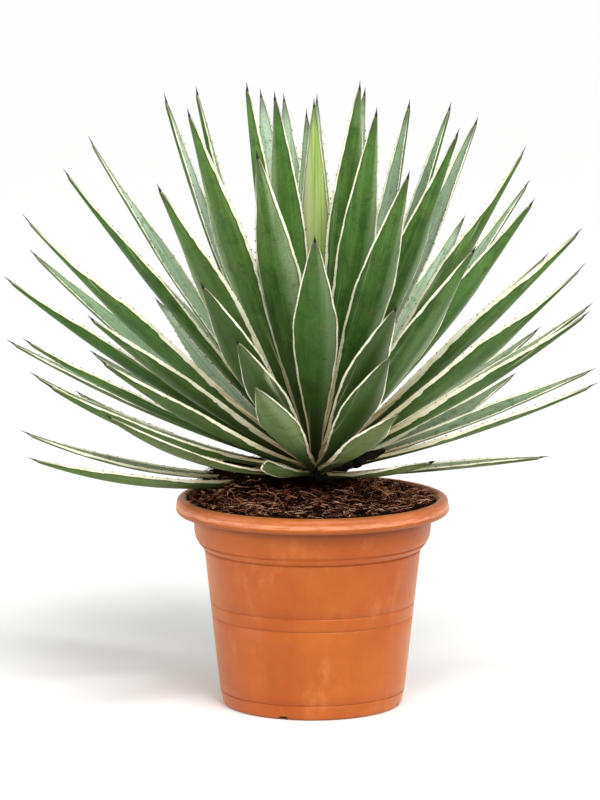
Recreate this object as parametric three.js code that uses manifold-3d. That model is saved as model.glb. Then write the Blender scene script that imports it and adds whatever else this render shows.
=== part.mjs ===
// A potted agave: a rosette of stiff cream-edged leaves with dark spines, on a short stem,
// standing in coir soil in a round terracotta-coloured pot with a turned-down rim.
// Millimetres, +Z up. The pot's axis is the Z axis, its underside is z = 0, and -Y faces the viewer.
import * as THREE from 'three';
import { mergeVertices } from 'three/addons/utils/BufferGeometryUtils.js';
import Module from 'manifold-3d';

const wasm = await Module();
wasm.setup();

// ---- driving dimensions ------------------------------------------------------------------
const potHeight = 230;          // underside to the top of the rim
const rimRadius = 150;          // outside of the turned-down rim
const rimWidth = 12;            // flat top of the rim, across
const rimDrop = 18;             // height of the rim's skirt
const wall = 4;                 // thickness of the pot's wall and skirt
const bandTopRadius = 130.5;    // collar band under the rim
const bodyTopRadius = 118;      // body just below the band
const footRadius = 99;          // body at the ground
const floorThickness = 5;
const lipLow = 214;             // where the inside of the wall starts to lean out to the rim
const potSides = 48;
const slotWidth = 9;            // drain slots under the foot
const slotHeight = 4;
const drainRadius = 6;

const soilHigh = 243;           // soil round the stem, a little above the rim
const soilLow = 226.5;          // soil at the rim
const gap = 0.3;                // clearance between neighbouring pieces

const rosetteX = 4;             // the plant stands a little to the right of the pot's axis
const stemRadius = 23;
const stemFoot = 190;           // lower end of the stem, down in the soil
const stemTop = 296;            // where the youngest leaves begin
const stemSides = 20;
const flareRadius = 28;         // ring of old leaf bases at the soil
const flareLow = 236;
const lobeSwell = 1.07;         // how far each old leaf base stands out
const lowestRoot = 246;         // height at which the lowest leaves leave the stem
const highestRoot = 312;
const budTop = 560;             // tip of the rolled-up young leaves in the middle

const spineShare = 0.04;        // part of a leaf's length that is its terminal spine
const spineWidth = 3.2;
const toothHeight = 2.2;        // marginal teeth
const toothBase = 3.4;

// One row a leaf: azimuth and rise in degrees, length, width, how far it hangs below a straight
// line as a share of its length, and its twist in degrees about its own length.
// Azimuth 0 points at the viewer and +90 along +X; the rise is that of the line from foot to tip.
// The youngest leaves stand nearly upright and grow together at the foot.
const heartLeaves = [
  [-2, 79.5, 375, 34, 0, 0], [26, 77, 400, 44, 0.02, 0], [-25, 76.5, 390, 42, 0.02, 0],
  [-62.5, 79.5, 389, 44, 0.02, 0], [179.5, 72, 380, 36, 0, 0], [157, 71.5, 390, 42, 0.02, 0],
  [-175.5, 71, 365, 36, 0, 0], [22.5, 68.5, 400, 44, 0.03, 0], [-167, 68.5, 390, 40, 0.02, 0],
  [-159, 67, 400, 42, 0.02, 0], [-161.5, 65.5, 385, 42, 0.02, 0], [117.5, 74.5, 374, 42, 0.03, 0],
  [-112.5, 71.5, 397, 38, 0.03, 16], [108.5, 69, 387, 38, 0.02, 0], [-104.5, 67.5, 402, 38, 0.03, 0],
  [-70, 85, 290, 30, 0, 0], [120, 84, 300, 30, 0, 0],
];
const upperLeaves = [
  [111.5, 63.5, 388, 46, 0.02, 8], [-37, 61.5, 430, 48, 0.025, 0], [37, 58, 425, 46, 0.015, 0],
  [64, 56, 405, 46, 0.02, -12], [-13.5, 54.5, 425, 48, 0.02, 0], [-108.5, 53.5, 412, 42, 0.022, 0],
  [20, 52, 415, 46, 0.02, 0], [-82, 50.5, 400, 44, 0.018, 15], [118, 48.5, 377, 42, 0.02, 0],
  [-32.5, 48, 425, 48, 0.02, 0], [-168, 50, 410, 46, 0.02, 0], [168, 46, 415, 46, 0.02, 0],
];
const middleLeaves = [
  [43, 44.5, 430, 48, 0.02, 0], [-0.5, 43, 400, 48, 0.02, 0], [68, 42.5, 382, 46, 0.02, -15],
  [-124, 42.5, 334, 42, 0.03, 0], [-62, 40.5, 430, 46, 0.03, 12], [112, 39, 332, 36, 0.02, 0],
  [27.5, 39, 420, 46, 0.03, 0], [-21, 36.5, 385, 46, 0.03, 0], [150, 35.5, 400, 44, 0.03, 0],
  [49, 35, 420, 48, 0.03, -18], [14.5, 34.5, 365, 44, 0.02, 0], [-110, 34, 383, 46, 0.035, 0],
  [-78, 33, 382, 46, 0.03, 20], [-16, 31.5, 330, 44, 0.03, 0], [62, 31, 354, 46, 0.03, -14],
  [104, 29, 336, 44, 0.03, 0], [14, 29, 325, 42, 0.03, 0], [-36.5, 28.5, 420, 46, 0.02, 0],
  [-72, 26, 342, 44, 0.035, 10], [-13, 25.5, 290, 44, 0.03, 0], [124, 24, 312, 42, 0.04, 0],
  [-34.5, 23.5, 400, 46, 0.03, 0], [-95.5, 22.5, 346, 44, 0.03, 0], [-178, 33, 405, 46, 0.03, 0],
  [165, 25, 390, 44, 0.03, 0], [-150, 22, 380, 42, 0.03, 0],
];
const lowerLeaves = [
  [16.5, 20.5, 290, 40, 0.03, 0], [-66, 20.5, 314, 44, 0.06, 10], [76, 19.5, 306, 42, 0.03, -8],
  [97, 19.5, 305, 42, 0.02, 10], [-126, 19, 312, 40, 0.04, 0], [-37.5, 17, 350, 42, 0.06, 0],
  [-104, 17, 319, 42, 0.06, 0], [-157, 14, 380, 42, 0.03, 0], [-22.3, 14.6, 130, 38, 0.05, 32],
  [40, 11.5, 178, 34, 0.04, 0], [140.5, 11, 350, 42, 0.05, 0], [-94, 8, 306, 42, 0.07, 0],
  [-135, 7.5, 375, 40, 0.06, 0], [-82, 5, 295, 42, 0.07, 20], [92, 4.5, 234, 36, 0.01, 0],
  [-178, 12, 360, 42, 0.05, 0], [160, 6, 340, 42, 0.05, 0], [-165, 2, 330, 40, 0.05, 0],
];

// ---- helpers -----------------------------------------------------------------------------
const radians = THREE.MathUtils.degToRad;
const clamp01 = (x) => Math.min(1, Math.max(0, x));

// A closed geometry as a solid that can be cut and joined.
function solidOf(geometry) {
  const bare = geometry.clone();
  bare.deleteAttribute('normal');
  bare.deleteAttribute('uv');
  const merged = mergeVertices(bare, 1e-4);
  return new wasm.Manifold(new wasm.Mesh({
    numProp: 3,
    vertProperties: new Float32Array(merged.attributes.position.array),
    triVerts: new Uint32Array(merged.index.array),
  }));
}

function geometryOf(solid) {
  const { vertProperties, triVerts } = solid.getMesh();
  const geometry = new THREE.BufferGeometry();
  geometry.setAttribute('position', new THREE.BufferAttribute(new Float32Array(vertProperties), 3));
  geometry.setIndex(new THREE.BufferAttribute(new Uint32Array(triVerts), 1));
  geometry.computeVertexNormals();
  return geometry;
}

function largestBody(solid) {
  return solid.decompose().reduce((a, b) => (a.volume() > b.volume() ? a : b));
}

// Skin over rings of equal point count, closed by a fan at the first ring and by a point at the end.
function loft(rings, apex, fanFrom = 0) {
  const count = rings[0].length;
  const points = rings.flat().concat([apex]);
  const faces = [];
  for (let i = 1; i < count - 1; i++) {
    faces.push(fanFrom, (fanFrom + i + 1) % count, (fanFrom + i) % count);
  }
  rings.forEach((ring, k) => {
    for (let i = 0; i < count; i++) {
      const a = k * count + i;
      const b = k * count + (i + 1) % count;
      if (k < rings.length - 1) faces.push(a, b, b + count, a, b + count, a + count);
      else faces.push(a, b, points.length - 1);
    }
  });
  const geometry = new THREE.BufferGeometry();
  const numbers = points.flatMap((p) => p.toArray());
  geometry.setAttribute('position', new THREE.Float32BufferAttribute(numbers, 3));
  geometry.setIndex(faces);
  return geometry;
}

function turned(outline, sides, x = 0) {
  const profile = outline.map(([radius, z]) => new THREE.Vector2(radius, z));
  return new THREE.LatheGeometry(profile, sides).rotateX(Math.PI / 2).translate(x, 0, 0);
}

// ---- pot ---------------------------------------------------------------------------------
// The wall in section: up the outside, over the turned-down rim, down the inside.
const innerTopRadius = rimRadius - rimWidth;
const potOutline = [
  [0, 0], [footRadius - 5, 0], [footRadius - 1.5, 1.5], [footRadius, 5],
  [101.6, 16], [100.9, 16.8], [102.2, 17.8],
  [110.6, 99], [110, 99.7], [110.8, 100.4], [112.2, 113.6], [111.6, 114.3], [112.4, 115],
  [bodyTopRadius, 166], [119.4, 173.4], [118.8, 174], [121, 175],
  [125.2, 180.6], [124.8, 181.4], [127.6, 184], [129.4, 190], [bandTopRadius, 203],
  [bandTopRadius + 0.5, potHeight - 6.5], [rimRadius - wall - 1, potHeight - 6.5],
  [rimRadius - wall - 0.5, potHeight - rimDrop], [rimRadius - 1.4, potHeight - rimDrop],
  [rimRadius - 1, potHeight - rimDrop + 3], [rimRadius, potHeight - rimDrop + 5.5],
  [rimRadius, potHeight - 9.5], [rimRadius - 0.6, potHeight - 6.2], [rimRadius - 2.3, potHeight - 3],
  [rimRadius - 5.4, potHeight - 0.7], [rimRadius - 9, potHeight],
  [innerTopRadius, potHeight - 1.5],
  [bandTopRadius - wall, lipLow], [bandTopRadius - wall, 190],
  [bodyTopRadius - wall, 168], [footRadius - wall, floorThickness + 4],
  [footRadius - wall - 4, floorThickness], [0, floorThickness],
];
let potSolid = solidOf(turned(potOutline, potSides));

// Four drain slots cross the foot, each running in to a hole in the floor.
const slotAngles = [-19, 71, 161, 251].map(radians);
for (const angle of slotAngles) {
  const outward = new THREE.Vector3(Math.sin(angle), -Math.cos(angle), 0);
  const slot = new THREE.BoxGeometry(slotWidth, 46, 2 * slotHeight).rotateZ(angle);
  slot.translate(...outward.clone().multiplyScalar(98));
  const hole = new THREE.CylinderGeometry(drainRadius, drainRadius, 20, 12).rotateX(Math.PI / 2);
  hole.translate(...outward.clone().multiplyScalar(74));
  potSolid = potSolid.subtract(solidOf(slot)).subtract(solidOf(hole));
}

// ---- stem --------------------------------------------------------------------------------
// Share of the way up the stem at which a leaf of this rise begins, and the stem's radius there.
const heightShare = (rise) => clamp01((rise + 8) / 98);
const rootHeight = (share) => lowestRoot + (highestRoot - lowestRoot) * share;
const rootRadius = (share) => (stemRadius - 3) * Math.sqrt(1 - share ** 3) + 3;

// A stub below the soil, then a flare of old leaf bases in lobes, then the part that bears leaves.
function stemGeometry(clearance) {
  const outline = [
    [0, stemFoot - clearance], [stemRadius - 6, stemFoot - clearance],
    [stemRadius + clearance, stemFoot + 12], [stemRadius + clearance, flareLow],
    [flareRadius + clearance, soilHigh], [flareRadius + clearance, soilHigh + 4],
    [stemRadius + 2 + clearance, soilHigh + 12],
  ];
  for (let i = 0; i <= 3; i++) {
    const z = THREE.MathUtils.lerp(soilHigh + 18, stemTop, i / 3);
    outline.push([rootRadius((z - lowestRoot) / (highestRoot - lowestRoot)) + clearance, z]);
  }
  outline[outline.length - 1][1] += clearance;
  outline.push([0, stemTop + clearance]);
  const geometry = turned(outline, stemSides);
  const p = geometry.attributes.position;
  for (let i = 0; i < p.count; i++) {
    const [x, y, z] = [p.getX(i), p.getY(i), p.getZ(i)];
    const lobed = z > flareLow + 1 && z < soilHigh + 14;
    const swell = lobed ? 1 + (lobeSwell - 1) * Math.cos(stemSides / 2 * Math.atan2(x, -y)) : 1;
    p.setXYZ(i, x * swell + rosetteX, y * swell, z);
  }
  return geometry;
}

// ---- soil --------------------------------------------------------------------------------
// Domed towards the stem and lumpy, by a few crossed waves; it fills the pot from its floor to
// the lean of the lip.
const lipLean = (innerTopRadius - bandTopRadius + wall) / (potHeight - 1.5 - lipLow);
const soilEdge = bandTopRadius - wall + lipLean * (soilLow - lipLow) - 0.8;
function soilSurface(x, y) {
  const share = clamp01(Math.hypot(x, y) / soilEdge);
  const lumps = 1.3 * Math.sin(x / 7 + 1) * Math.cos(y / 9) + 0.9 * Math.sin(x / 3.7 - y / 5.3);
  return soilHigh - (soilHigh - soilLow) * share ** 1.9 + lumps * Math.min(1, 4 * (1 - share));
}

function soilGeometry() {
  const outline = [
    [0, floorThickness + gap], [footRadius - wall - 5, floorThickness + gap],
    [footRadius - wall - 1, floorThickness + 6], [bodyTopRadius - wall - 0.6, 167],
    [bandTopRadius - wall - 0.6, 190], [bandTopRadius - wall - 0.6, lipLow],
  ];
  const rings = 10;
  for (let i = 0; i <= rings; i++) outline.push([soilEdge * (1 - i / rings), 300]);
  const geometry = turned(outline, potSides);
  const p = geometry.attributes.position;
  for (let i = 0; i < p.count; i++) {
    if (p.getZ(i) > 299) p.setZ(i, soilSurface(p.getX(i), p.getY(i)));
  }
  return geometry;
}

const holeRadius = stemRadius + 2 * gap;
const mouthRadius = flareRadius * lobeSwell + 2 * gap;
const stemHole = turned([
  [0, stemFoot - 2 * gap], [holeRadius, stemFoot - 2 * gap], [holeRadius, flareLow - gap],
  [mouthRadius, soilHigh - 1], [mouthRadius, 300], [0, 300],
], 24, rosetteX);
const soilSolid = solidOf(soilGeometry()).subtract(solidOf(stemHole));

// ---- leaves ------------------------------------------------------------------------------
// Width of a blade along its length s = 0..1: widest at 0.6, narrow at the foot, drawn out to the spine.
function widthAt(s, width) {
  const widest = 0.6;
  if (s < widest) {
    return width * (0.36 + 0.64 * Math.sin(Math.PI / 2 * Math.max(0, s / widest) ** 0.9) ** 2);
  }
  return Math.max(spineWidth, width * (1 - ((s - widest) / (1 - widest)) ** 1.6));
}

// Where the leaf's midrib is at s, with the directions along it, across it and out of its upper face.
function midrib([azimuth, rise, length, , sag, twist], s) {
  const a = radians(azimuth);
  const e = radians(rise);
  const share = heightShare(rise);
  const outward = new THREE.Vector3(Math.sin(a), -Math.cos(a), 0);
  const chord = outward.clone().multiplyScalar(Math.cos(e)).setZ(Math.sin(e));
  const upward = outward.clone().multiplyScalar(-Math.sin(e)).setZ(Math.cos(e));
  const point = new THREE.Vector3(rosetteX, 0, rootHeight(share)).addScaledVector(outward, rootRadius(share));
  point.addScaledVector(chord, s * length).addScaledVector(upward, -4 * s * (1 - s) * sag * length);
  const along = chord.clone().addScaledVector(upward, -4 * (1 - 2 * s) * sag).normalize();
  const across = new THREE.Vector3(Math.cos(a), Math.sin(a), 0);
  across.applyAxisAngle(along, radians(twist));
  return { point, along, across, up: along.clone().cross(across) };
}

// A blade: six-pointed sections, channelled above and rounded below, ending in a conical spine.
function bladeGeometry(row, clearance) {
  const [, , , width] = row;
  const stations = [-0.03, 0.12, 0.27, 0.43, 0.58, 0.72, 0.84, 0.93, 1 - spineShare];
  const rings = stations.map((s) => {
    const { point, across, up } = midrib(row, s);
    const half = widthAt(s, width) / 2 + clearance * 1.6;
    const onSpine = s > 0.95;
    const channel = onSpine ? 0 : 0.24 * half;
    const thick = (onSpine ? 1.3 : 4.8 - 2.6 * s) + clearance;
    const top = onSpine ? 1.3 : 0;
    const [edge, haunch] = [channel + clearance / 2, 0.3 * channel - 0.75 * thick];
    const section = [
      [half, edge], [0, top + clearance], [-half, edge],
      [-0.56 * half, haunch], [0, -thick], [0.56 * half, haunch],
    ];
    return section.map(([x, z]) => point.clone().addScaledVector(across, x).addScaledVector(up, z));
  });
  return loft(rings, midrib(row, 1).point, 4);
}

// A marginal tooth: a small four-sided thorn on one edge, leaning towards the leaf's tip.
function toothGeometry(row, s, side) {
  const { point, along, across, up } = midrib(row, s);
  const half = widthAt(s, row[3]) / 2;
  const foot = point.addScaledVector(across, side * (half - 1.2)).addScaledVector(up, 0.24 * half - 0.3);
  const corner = (a, u) => foot.clone().addScaledVector(along, a).addScaledVector(up, u);
  const ring = [[toothBase / 2, 0], [0, 0.7], [-toothBase / 2, 0], [0, -0.9]].map(([a, u]) => corner(a, u));
  if (side < 0) ring.reverse();
  const tip = foot.clone().addScaledVector(across, side * (toothHeight + 1.2)).addScaledVector(along, 1);
  return loft([ring], tip);
}

function leafSolid(row, toothPlaces = []) {
  let solid = solidOf(bladeGeometry(row, 0));
  for (const [s, side] of toothPlaces) solid = solid.add(solidOf(toothGeometry(row, s, side)));
  return solid;
}

const leafWithRoom = (row) => solidOf(bladeGeometry(row, gap));
const evenTeeth = [[0.4, -1], [0.58, 1], [0.24, -1]];    // place along the blade, and which edge
const oddTeeth = [[0.32, 1], [0.66, -1], [0.5, 1]];
const teethOf = (index) => (index % 2 ? oddTeeth : evenTeeth);

// The heart: the upright young leaves round a rolled bud, one body that sits on the stem's top.
function budGeometry(clearance) {
  const foot = stemTop + gap - clearance;
  return turned([
    [0, foot], [17 + clearance, foot], [16 + clearance, 314], [11 + clearance, 340],
    [7 + clearance, 390], [4 + clearance, 470], [0, budTop],
  ], 12, rosetteX);
}
const stemWithRoom = solidOf(stemGeometry(gap));
let heartSolid = solidOf(budGeometry(0));
let heartWithRoom = solidOf(budGeometry(gap));
heartLeaves.forEach((row, i) => {
  heartSolid = heartSolid.add(leafSolid(row, teethOf(i).slice(0, 2)));
  heartWithRoom = heartWithRoom.add(leafWithRoom(row));
});
heartSolid = largestBody(heartSolid.subtract(stemWithRoom));

// Every other leaf is a piece of its own. Where its foot would run into a younger one, it gives way,
// as crowded leaf feet do: the younger leaf keeps its shape and the older is hollowed to clear it.
const leafGroups = { upper: upperLeaves, middle: middleLeaves, lower: lowerLeaves };
const leafRows = Object.entries(leafGroups).flatMap(([group, rows]) => rows.map((row, i) => ({
  name: `${group}_leaf_${String(i + 1).padStart(2, '0')}`, row,
})));
leafRows.sort((a, b) => b.row[1] - a.row[1]);
const settled = [{ solid: heartSolid, room: heartWithRoom }];
const leafSolids = leafRows.map(({ name, row }, index) => {
  const whole = leafSolid(row, teethOf(index));
  let solid = whole.subtract(stemWithRoom);
  for (const younger of settled) {
    if (whole.intersect(younger.solid).volume() > 0.004) solid = solid.subtract(younger.room);
  }
  solid = largestBody(solid);
  settled.push({ solid: whole, room: leafWithRoom(row) });
  return { name, solid };
});

// ---- assembly ----------------------------------------------------------------------------
function piece(name, geometry, color, roughness) {
  const material = new THREE.MeshStandardMaterial({ color, roughness, metalness: 0 });
  const mesh = new THREE.Mesh(geometry, material);
  mesh.name = name;
  return mesh;
}

const plant = new THREE.Group();
plant.name = 'plant';
plant.add(piece('stem', stemGeometry(0), 0x6f6a45, 0.8));
plant.add(piece('heart', geometryOf(heartSolid), 0x6f9a52, 0.5));
for (const { name, solid } of leafSolids) plant.add(piece(name, geometryOf(solid), 0x5d7f45, 0.5));

const pottedAgave = new THREE.Group();
pottedAgave.name = 'potted_agave';
pottedAgave.add(piece('pot', geometryOf(potSolid), 0xc8703f, 0.55));
pottedAgave.add(piece('soil', geometryOf(soilSolid), 0x3a2418, 0.95));
pottedAgave.add(plant);

export default pottedAgave;
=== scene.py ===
import collections
import math

import bmesh
import bpy
import numpy as np
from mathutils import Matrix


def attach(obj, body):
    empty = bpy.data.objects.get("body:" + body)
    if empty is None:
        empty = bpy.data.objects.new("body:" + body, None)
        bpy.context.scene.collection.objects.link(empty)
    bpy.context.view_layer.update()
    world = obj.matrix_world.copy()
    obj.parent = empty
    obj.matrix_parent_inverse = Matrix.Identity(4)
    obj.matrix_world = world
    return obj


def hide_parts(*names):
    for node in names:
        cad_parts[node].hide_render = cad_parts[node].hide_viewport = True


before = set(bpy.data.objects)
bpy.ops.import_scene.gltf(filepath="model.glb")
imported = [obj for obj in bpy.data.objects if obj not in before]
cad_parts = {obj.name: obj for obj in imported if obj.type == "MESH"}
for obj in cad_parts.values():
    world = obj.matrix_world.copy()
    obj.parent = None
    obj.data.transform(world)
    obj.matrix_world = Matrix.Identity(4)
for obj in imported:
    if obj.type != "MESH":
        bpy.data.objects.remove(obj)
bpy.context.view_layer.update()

# ---- Camera, floor and light -------------------------------------------------------------
# A long lens from four and a half metres, a little above the rim and looking slightly down, a
# plain pale floor that runs into a pale surround, and big soft lamps left, right and above.
camera_distance = 4.5                    # from the middle of the rim
camera_rise = math.radians(10)           # height of the camera, seen from the rim
camera_tilt = math.radians(8.66)         # how far it looks down
camera_x = -0.0137                       # it stands slightly to the left of the pot's axis
picture_height = 800                     # pixels
focal_length = 4101                      # pixels
rim_height = 0.230

camera_data = bpy.data.cameras.new("camera")
camera_data.sensor_width = 36
camera_data.lens = focal_length * camera_data.sensor_width / picture_height
camera_data.clip_end = 200
camera = bpy.data.objects.new("camera", camera_data)
camera.location = (camera_x, -camera_distance * math.cos(camera_rise),
                   rim_height + camera_distance * math.sin(camera_rise))
camera.rotation_euler = (math.pi / 2 - camera_tilt, 0, 0)
bpy.context.scene.collection.objects.link(camera)
bpy.context.scene.camera = camera
bpy.context.scene.view_settings.view_transform = "Standard"
bpy.context.scene.view_settings.look = "None"

surround = bpy.data.worlds.new("pale_surround")
surround.use_nodes = True
sky = surround.node_tree
direction = sky.nodes.new("ShaderNodeTexCoord")
split = sky.nodes.new("ShaderNodeSeparateXYZ")
glow = sky.nodes.new("ShaderNodeMapRange")           # brighter level with the plant than above it
for socket, number in {"From Min": 0.02, "From Max": 0.50, "To Min": 1.0, "To Max": 0.55}.items():
    glow.inputs[socket].default_value = number
sky.links.new(direction.outputs["Generated"], split.inputs[0])
sky.links.new(split.outputs["Z"], glow.inputs[0])
sky.links.new(glow.outputs[0], sky.nodes["Background"].inputs["Strength"])
sky.nodes["Background"].inputs["Color"].default_value = (1.0, 1.0, 1.0, 1)
bpy.context.scene.world = surround

sun_data = bpy.data.lights.new("broad_window", "SUN")
sun_data.energy = 2.1
sun_data.angle = math.radians(34)
sun = bpy.data.objects.new("broad_window", sun_data)
sun.rotation_euler = (math.radians(44), 0, math.radians(27))
bpy.context.scene.collection.objects.link(sun)
plant_middle = np.array([0, 0, 0.35])


def soft_lamp(name, place, size, watts):
    """A square area lamp at that place, turned towards the middle of the plant."""
    data = bpy.data.lights.new(name, "AREA")
    data.size = size
    data.energy = watts
    lamp = bpy.data.objects.new(name, data)
    lamp.location = place
    aim = plant_middle - np.array(place)
    lamp.rotation_euler = (math.acos(-aim[2] / np.linalg.norm(aim)), 0,
                           math.atan2(aim[1], aim[0]) - math.pi / 2)
    bpy.context.scene.collection.objects.link(lamp)


soft_lamp("front_lamp", (-0.7, -2.6, 2.0), 0.5, 11)
soft_lamp("top_lamp", (0.1, -1.5, 2.3), 0.30, 12)
soft_lamp("left_lamp", (-2.6, -0.9, 0.9), 1.2, 19.5)
soft_lamp("right_lamp", (2.5, -1.5, 1.2), 1.2, 11)


def grid_mesh(name, points, faces, marks=None):
    """A smooth mesh object from vertex places and faces. marks is {attribute name: one number
    a vertex}, which the materials read."""
    data = bpy.data.meshes.new(name)
    data.from_pydata(points, [], faces)
    data.polygons.foreach_set("use_smooth", np.ones(len(data.polygons), bool))
    for mark, numbers in (marks or {}).items():
        layer = data.attributes.new(mark, "FLOAT", "POINT")
        layer.data.foreach_set("value", np.asarray(numbers, np.float32))
    data.update()
    piece = bpy.data.objects.new(name, data)
    bpy.context.scene.collection.objects.link(piece)
    return piece


floor_reach = 90
floor_corners = [(x * floor_reach, y * floor_reach, 0) for x, y in ((-1, -1), (1, -1), (1, 1), (-1, 1))]
floor = grid_mesh("floor", floor_corners, [(0, 1, 2, 3)])
floor_paint = bpy.data.materials.new("pale_floor")
floor_paint.use_nodes = True
floor_shader = floor_paint.node_tree.nodes["Principled BSDF"]
floor_shader.inputs["Base Color"].default_value = (0.95, 0.95, 0.945, 1)
floor_shader.inputs["Roughness"].default_value = 0.7
floor.data.materials.append(floor_paint)


# ---- Pot ---------------------------------------------------------------------------------
# A round moulded plastic pot, coloured right through like terracotta and slightly mottled. The
# rim is turned down into a skirt; a band runs below it, and four slots cross the foot.
pot_sides = 256
pot_rows = 2                             # rows of faces to each stretch of the outline
slot_angles = np.radians([-19, 71, 161, 251])
slot_half_width = 0.0045
slot_height, slot_end = 0.004, 0.075     # height of the slots, and the radius where they end
drain_place, drain_radius = 0.068, 0.006
drain_depth = 0.0046
foot_level = 0.0055                      # what is lower belongs to the foot and the floor
skirt_foot = (0.1455, 0.2152)            # where the skirt's inside turns into its rolled edge
pot_outline = [
    # The underside, with points close together where the drain holes are.
    (0, 0), (0.060, 0), (0.0625, 0), (0.065, 0), (0.0675, 0), (0.070, 0), (0.0725, 0), (0.0752, 0),
    (0.086, 0), (0.094, 0), (0.0975, 0.0012), (0.0988, 0.0035), (0.0994, 0.007),
    # The groove at the foot, and the wall with two fine grooves round its middle.
    (0.1013, 0.0146), (0.1016, 0.0157), (0.1007, 0.0163), (0.1008, 0.0171), (0.1020, 0.0178),
    (0.1040, 0.036), (0.1075, 0.068), (0.1106, 0.0987), (0.1101, 0.0993), (0.1102, 0.1000),
    (0.1110, 0.1006), (0.1115, 0.107), (0.1121, 0.1134), (0.1116, 0.1140), (0.1117, 0.1147),
    (0.1125, 0.1153), (0.1150, 0.138), (0.1180, 0.166),
    # The stepped shoulder, and the band above it.
    (0.1192, 0.1728), (0.1182, 0.1735), (0.1183, 0.1745), (0.1212, 0.1754), (0.1240, 0.1790),
    (0.1252, 0.1804), (0.1243, 0.1810), (0.1246, 0.1820), (0.1276, 0.1844), (0.1290, 0.1885),
    (0.1298, 0.194), (0.1305, 0.203), (0.1306, 0.206), (0.1307, 0.209), (0.1308, 0.212),
    (0.1308, 0.215), (0.1309, 0.2215),
    # Up under the rim, down the inside of the skirt, and round its rolled edge.
    (0.1330, 0.2232), (0.1440, 0.2228), (0.1452, 0.2210), skirt_foot, (0.1461, 0.2139),
    (0.1470, 0.2134), (0.1481, 0.2136), (0.1489, 0.2145), (0.1494, 0.2154), (0.1499, 0.2164),
    (0.1500, 0.2178), (0.1499, 0.2190), (0.1496, 0.2203), (0.1493, 0.2216), (0.1491, 0.2228),
    # Over the top of the rim, and down the inside to the floor.
    (0.1490, 0.2245), (0.1487, 0.2262), (0.1479, 0.2279), (0.1465, 0.2291), (0.1442, 0.2298),
    (0.1410, 0.2300), (0.1393, 0.2295), (0.1383, 0.2282), (0.1300, 0.2180),
    (0.1268, 0.2120), (0.1264, 0.190), (0.1140, 0.168), (0.0952, 0.010), (0.0940, 0.006),
    (0.0910, 0.005), (0, 0.005),
]


def turned_surface(outline, sides, rows_between):
    """Turns an outline about Z. Each stretch of it is cut into rows_between pieces, and the
    point at share k of a stretch is the straight mix of its ends. Returns radius, height and
    angle as arrays of rows by sides."""
    outline = np.asarray(outline, float)
    steps = np.linspace(0, len(outline) - 1, (len(outline) - 1) * rows_between + 1)
    radius = np.interp(steps, np.arange(len(outline)), outline[:, 0])
    height = np.interp(steps, np.arange(len(outline)), outline[:, 1])
    angle = np.arange(sides) / sides * 2 * math.pi
    return np.broadcast_arrays(radius[:, None], height[:, None], angle[None, :])


def turned_faces(rows, sides, first=0):
    """Quads between neighbouring rows of a turned surface, closed round the axis."""
    row, side = np.meshgrid(np.arange(rows - 1), np.arange(sides), indexing="ij")
    a = first + row * sides + side
    b = first + row * sides + (side + 1) % sides
    return np.stack([a, b, b + sides, a + sides], -1).reshape(-1, 4)


def weld(piece):
    """Merges the vertices that meet in a pole or a seam, and turns the faces outwards."""
    work = bmesh.new()
    work.from_mesh(piece.data)
    bmesh.ops.remove_doubles(work, verts=work.verts, dist=1e-6)
    bmesh.ops.recalc_face_normals(work, faces=work.faces)
    work.to_mesh(piece.data)
    work.free()


radius, height, angle = turned_surface(pot_outline, pot_sides, pot_rows)
radius, height = radius.copy(), height.copy()
# The mark "dark" is 1 where hardly any light gets: up behind the skirt and in the drain holes. On
# the lower half of the skirt's rolled edge it rises to roll_shade.
shade_start, shade_span = 0.2030, 0.0100
roll_middle, roll_span, roll_shade = 0.2192, 0.0055, 0.65
rim_outside = 0.14                       # all of the rolled edge lies outside this radius
dark = np.clip((height - shade_start) / shade_span, 0, 1)
edge_row = pot_rows * pot_outline.index(skirt_foot)
outside = radius[edge_row:] > rim_outside
dark[edge_row:] = roll_shade * (outside * np.clip((roll_middle - height[edge_row:]) / roll_span, 0, 1))
for slot in slot_angles:
    offset = np.abs((angle - slot + math.pi) % (2 * math.pi) - math.pi) * radius
    in_slot = (offset < slot_half_width) & (radius > slot_end) & (height < slot_height)
    height[in_slot] = slot_height
    in_hole = (np.hypot(offset, radius - drain_place) < drain_radius) & (height < foot_level)
    height[in_hole] = drain_depth
    dark[in_hole] = 1
points = np.stack([radius * np.sin(angle), -radius * np.cos(angle), height], -1).reshape(-1, 3)
pot = grid_mesh("pot_shell", points, turned_faces(*radius.shape).tolist(), marks={"dark": dark.ravel()})
weld(pot)


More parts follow.
